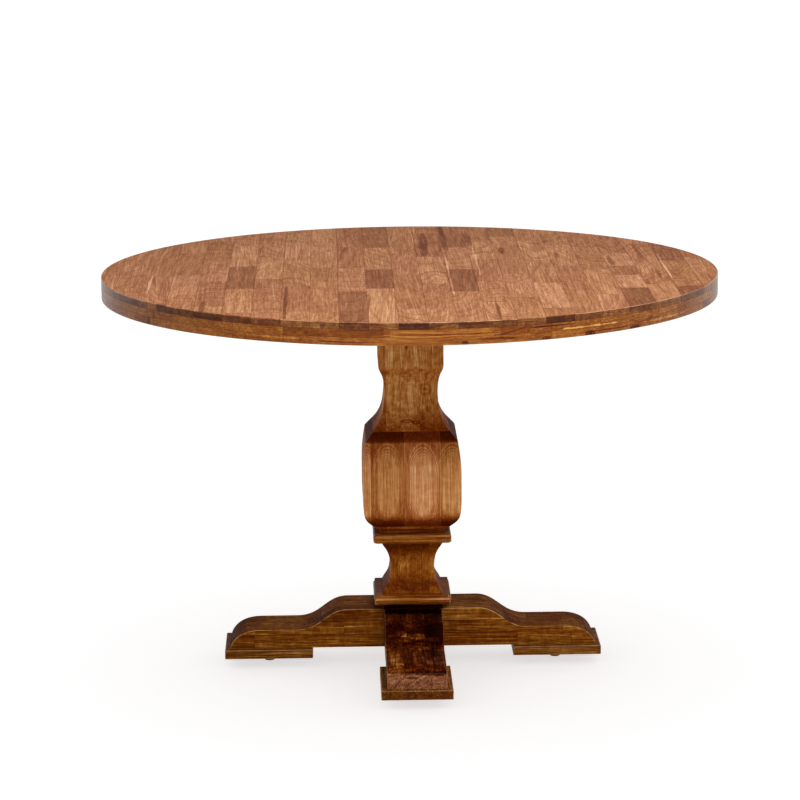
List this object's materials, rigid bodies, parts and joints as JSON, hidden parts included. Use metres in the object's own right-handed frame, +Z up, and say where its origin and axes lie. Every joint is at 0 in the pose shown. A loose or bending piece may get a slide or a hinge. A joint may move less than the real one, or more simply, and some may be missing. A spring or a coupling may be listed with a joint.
{
  "type": "round pedestal table",
  "caption": "Round butcher-block dining table on a square shaped wooden pedestal with an ogee cross foot and screw-in levellers.",
  "frame": {"origin": "on the floor at the middle of the table, straight below the centre of the round top", "axes": "+Z up along the post; X and Y along the two beams of the cross foot, with -Y towards the front"},
  "size_m": [1.168, 1.168, 0.762],
  "materials": {
    "top_wood": "satin lacquer over mid-brown butcher-block staves",
    "edge_wood": "satin lacquer over long finger-jointed strips",
    "hidden_wood": "plain sanded",
    "post_wood": "satin lacquer over golden-brown glued staves",
    "moulding_wood": "satin lacquer over reddish-brown wood",
    "foot_wood": "satin lacquer over dark brown wood",
    "pad_wood": "satin lacquer over dark brown wood",
    "zinc_steel": "zinc plated",
    "black_rubber": "matt moulded rubber"
  },
  "bodies": {
    "table": {"base_block": "foot_wood", "collar_fillet": "moulding_wood", "collar_plate": "moulding_wood", "foot_beam_x": "foot_wood", "foot_beam_y": "foot_wood", "foot_pad_back": "pad_wood", "foot_pad_front": "pad_wood", "foot_pad_left": "pad_wood", "foot_pad_right": "pad_wood", "leveller_insert_back": "zinc_steel", "leveller_insert_front": "zinc_steel", "leveller_insert_left": "zinc_steel", "leveller_insert_right": "zinc_steel", "neck_block": "post_wood", "pad_screw_back_1": "zinc_steel", "pad_screw_back_2": "zinc_steel", "pad_screw_front_1": "zinc_steel", "pad_screw_front_2": "zinc_steel", "pad_screw_left_1": "zinc_steel", "pad_screw_left_2": "zinc_steel", "pad_screw_right_1": "zinc_steel", "pad_screw_right_2": "zinc_steel", "plinth_plate": "moulding_wood", "rod_nut_base": "zinc_steel", "rod_nut_head": "zinc_steel", "rod_washer_base": "zinc_steel", "rod_washer_head": "zinc_steel", "tie_rod": "zinc_steel", "top_bearer_x": "hidden_wood", "top_bearer_y": "hidden_wood", "top_bottom_layer": "edge_wood", "top_face_layer": "top_wood", "top_middle_layer": "edge_wood", "top_screw_back_1": "zinc_steel", "top_screw_back_2": "zinc_steel", "top_screw_front_1": "zinc_steel", "top_screw_front_2": "zinc_steel", "top_screw_left_1": "zinc_steel", "top_screw_left_2": "zinc_steel", "top_screw_right_1": "zinc_steel", "top_screw_right_2": "zinc_steel", "upper_post": "post_wood"},
    "leveller_right": {"leveller_foot_right": "black_rubber"},
    "stem_right": {"leveller_stem_right": "zinc_steel"},
    "leveller_back": {"leveller_foot_back": "black_rubber"},
    "stem_back": {"leveller_stem_back": "zinc_steel"},
    "leveller_left": {"leveller_foot_left": "black_rubber"},
    "stem_left": {"leveller_stem_left": "zinc_steel"},
    "leveller_front": {"leveller_foot_front": "black_rubber"},
    "stem_front": {"leveller_stem_front": "zinc_steel"}
  },
  "joints": [
    {"name": "leveller_right_slide", "type": "slide", "parent": "table", "child": "leveller_right", "axis": [0, 0, -1], "range_m": [0, 0.01]},
    {"name": "leveller_right_turn", "type": "hinge", "parent": "leveller_right", "child": "stem_right", "pos_m": [0.27725, 0, 0.019], "axis": [0, 0, -1], "range_deg": [0, 2880]},
    {"name": "leveller_back_slide", "type": "slide", "parent": "table", "child": "leveller_back", "axis": [0, 0, -1], "range_m": [0, 0.01]},
    {"name": "leveller_back_turn", "type": "hinge", "parent": "leveller_back", "child": "stem_back", "pos_m": [0, 0.27725, 0.019], "axis": [0, 0, -1], "range_deg": [0, 2880]},
    {"name": "leveller_left_slide", "type": "slide", "parent": "table", "child": "leveller_left", "axis": [0, 0, -1], "range_m": [0, 0.01]},
    {"name": "leveller_left_turn", "type": "hinge", "parent": "leveller_left", "child": "stem_left", "pos_m": [-0.27725, 0, 0.019], "axis": [0, 0, -1], "range_deg": [0, 2880]},
    {"name": "leveller_front_slide", "type": "slide", "parent": "table", "child": "leveller_front", "axis": [0, 0, -1], "range_m": [0, 0.01]},
    {"name": "leveller_front_turn", "type": "hinge", "parent": "leveller_front", "child": "stem_front", "pos_m": [0, -0.27725, 0.019], "axis": [0, 0, -1], "range_deg": [0, 2880]}
  ],
  "couplings": [
    {"joint": "leveller_right_turn", "follows": "leveller_right_slide", "rad_per_m": 5026.5},
    {"joint": "leveller_back_turn", "follows": "leveller_back_slide", "rad_per_m": 5026.5},
    {"joint": "leveller_left_turn", "follows": "leveller_left_slide", "rad_per_m": 5026.5},
    {"joint": "leveller_front_turn", "follows": "leveller_front_slide", "rad_per_m": 5026.5}
  ]
}
